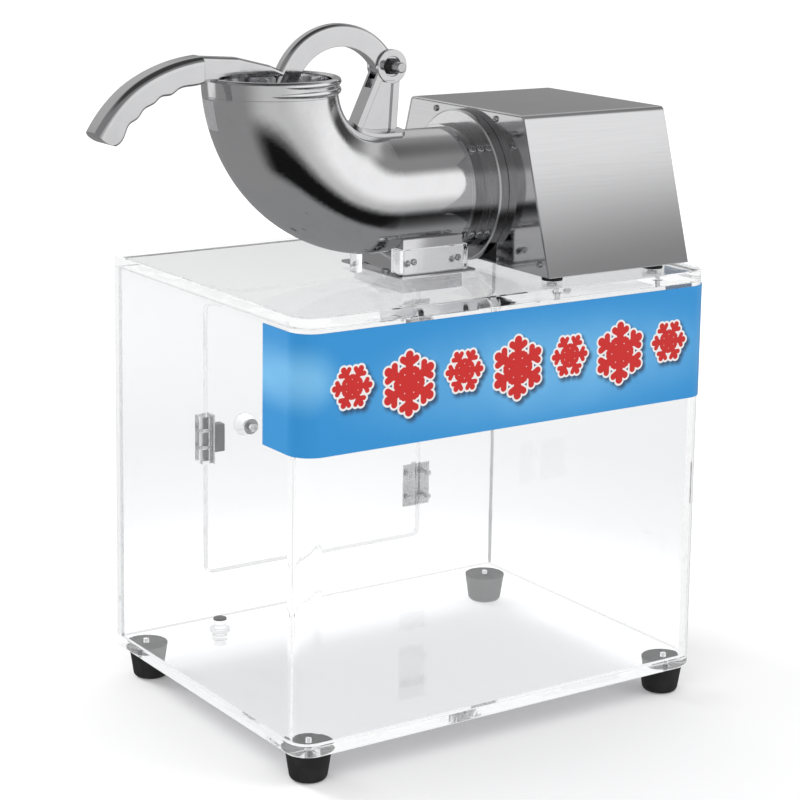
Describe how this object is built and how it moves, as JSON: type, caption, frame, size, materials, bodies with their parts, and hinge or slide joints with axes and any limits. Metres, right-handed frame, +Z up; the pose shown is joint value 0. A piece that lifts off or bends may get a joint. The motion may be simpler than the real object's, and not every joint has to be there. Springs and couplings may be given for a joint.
{
  "type": "electric ice crusher",
  "caption": "Electric ice crusher with a polished feed elbow, lever pusher and sheet-metal motor housing on a clear acrylic ice case with a rear door and a blue sign band.",
  "frame": {"origin": "On the table under the middle of the whole part's box.", "axes": "+X to the right along the sign, +Y to the back where the case's door is, +Z up."},
  "size_m": [0.5346, 0.3392, 0.6048],
  "materials": {
    "clear_acrylic": "clear polished cast acrylic sheet with cut edges",
    "clear_plastic": "clear turned and moulded plastic",
    "polished_metal": "mirror-polished cast aluminium",
    "brushed_sheet": "satin stainless sheet with a fine grain",
    "bright_steel": "bright zinc-plated steel fasteners and fittings",
    "cast_metal": "plain machined or cast aluminium inside",
    "dark_steel": "black-finished steel",
    "laminated_iron": "stacked electrical sheet",
    "black_rubber": "matt black moulded rubber",
    "black_plastic": "black moulded plastic",
    "grey_plastic": "dark grey moulded plastic",
    "red_plastic": "red translucent rocker plastic",
    "blue_sign": null
  },
  "bodies": {
    "base": {"base_plate": "clear_acrylic", "case_walls": "clear_acrylic", "rear_wall": "clear_acrylic", "lid_plate": "clear_acrylic", "case_feet": "black_rubber", "sign_panel": "blue_sign", "hinge_wall_leaves": "bright_steel", "hinge_pins": "bright_steel", "hinge_wall_fasteners": "bright_steel", "catch_block": "clear_plastic", "catch_plate": "bright_steel", "catch_magnet": "grey_plastic", "elbow_front": "polished_metal", "elbow_back": "polished_metal", "mouth_ring": "polished_metal", "end_collar": "polished_metal", "collar_screws": "bright_steel", "bearing_drum": "polished_metal", "shaft_seal": "black_rubber", "drum_bolts": "bright_steel", "motor_front_cap": "cast_metal", "motor_shell": "cast_metal", "motor_rear_cap": "cast_metal", "stator_core": "laminated_iron", "bearings": "bright_steel", "motor_cradle": "cast_metal", "housing_wrap": "brushed_sheet", "housing_left_panel": "polished_metal", "housing_right_panel": "brushed_sheet", "small_screws": "bright_steel", "housing_base": "brushed_sheet", "head_feet": "black_rubber", "mount_bolts": "bright_steel", "switch_frame": "black_plastic", "cord_gland": "black_plastic", "ice_chute": "brushed_sheet", "chute_guard": "clear_plastic", "support_post": "clear_plastic", "pivot_bracket": "polished_metal", "pivot_pin": "bright_steel", "pin_nut": "dark_steel"},
    "blade_rotor": {"blade_disc": "cast_metal", "blades": "bright_steel", "blade_screws": "bright_steel", "drive_shaft": "bright_steel", "shaft_nut": "bright_steel", "rotor_core": "laminated_iron", "cooling_fan": "black_plastic"},
    "lever": {"lever_arm": "polished_metal", "lever_grip": "polished_metal", "pusher_plate": "cast_metal", "pusher_screws": "bright_steel"},
    "door": {"rear_door": "clear_acrylic", "hinge_door_leaves": "bright_steel", "door_fasteners": "bright_steel", "door_knob": "clear_plastic", "strike_plate": "bright_steel"},
    "rocker": {"switch_rocker": "red_plastic"},
    "plug": {"drain_plug": "clear_plastic", "plug_cap": "black_plastic"}
  },
  "joints": [
    {"name": "lever_pivot", "type": "hinge", "parent": "base", "child": "lever", "pos_m": [0.01345, -0.02245, 0.567], "axis": [0, 1, 0], "range_deg": [0, 100]},
    {"name": "blade_spin", "type": "hinge", "parent": "base", "child": "blade_rotor", "pos_m": [0.05025, -0.02245, 0.458], "axis": [1, 0, 0], "continuous": true},
    {"name": "door_hinge", "type": "hinge", "parent": "base", "child": "door", "pos_m": [0.16625, 0.15505, 0.2095], "axis": [0, 0, -1], "range_deg": [0, 110]},
    {"name": "switch_rocker_tilt", "type": "hinge", "parent": "base", "child": "rocker", "pos_m": [0.24775, -0.07245, 0.478], "axis": [0, 1, 0], "range_deg": [0, 20]},
    {"name": "drain_plug_lift", "type": "slide", "parent": "base", "child": "plug", "axis": [0, 0, 1], "range_m": [0, 0.03]}
  ]
}
